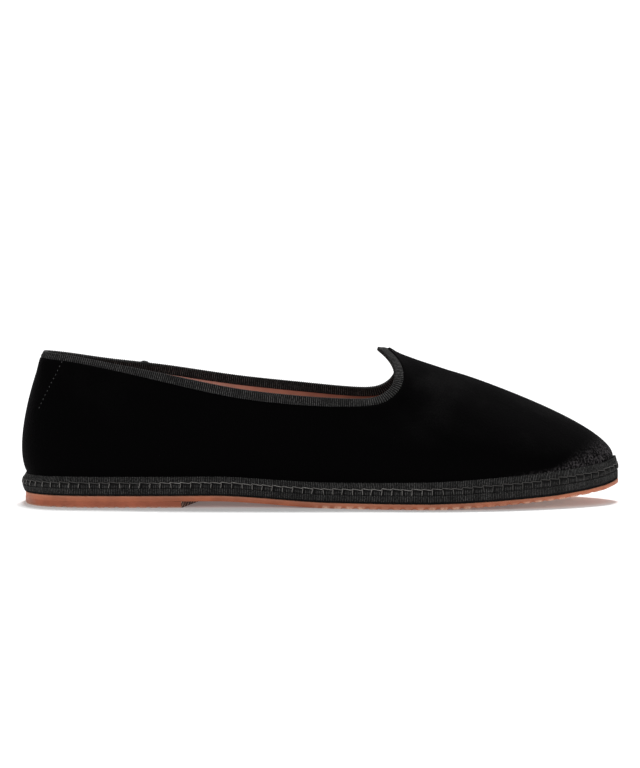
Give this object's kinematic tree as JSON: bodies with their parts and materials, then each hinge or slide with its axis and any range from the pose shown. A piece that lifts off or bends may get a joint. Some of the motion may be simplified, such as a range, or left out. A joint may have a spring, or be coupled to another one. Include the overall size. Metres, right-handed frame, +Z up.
{
  "type": "velvet slipper loafer",
  "caption": "Low velvet slipper, right shoe, with a peaked throat, taped topline, stitched tape welt and a thin sole with a low heel.",
  "frame": {"origin": "on the floor below the middle of the shoe", "axes": "+X to the toe, +Y to the inner side of the foot, +Z up"},
  "size_m": [0.2624, 0.087, 0.0691],
  "materials": {
    "outsole": "matte terracotta with a lighter worn edge",
    "heel": "matte terracotta",
    "tape": "ribbed black grosgrain",
    "sock": "matte terracotta leather",
    "velvet": "black velvet with a soft sheen"
  },
  "bodies": {
    "root": {"outsole": "outsole", "heel": "heel", "midsole": "tape", "welt": "tape", "insole": "sock", "upper": "velvet", "collar_binding": "tape"}
  },
  "joints": []
}
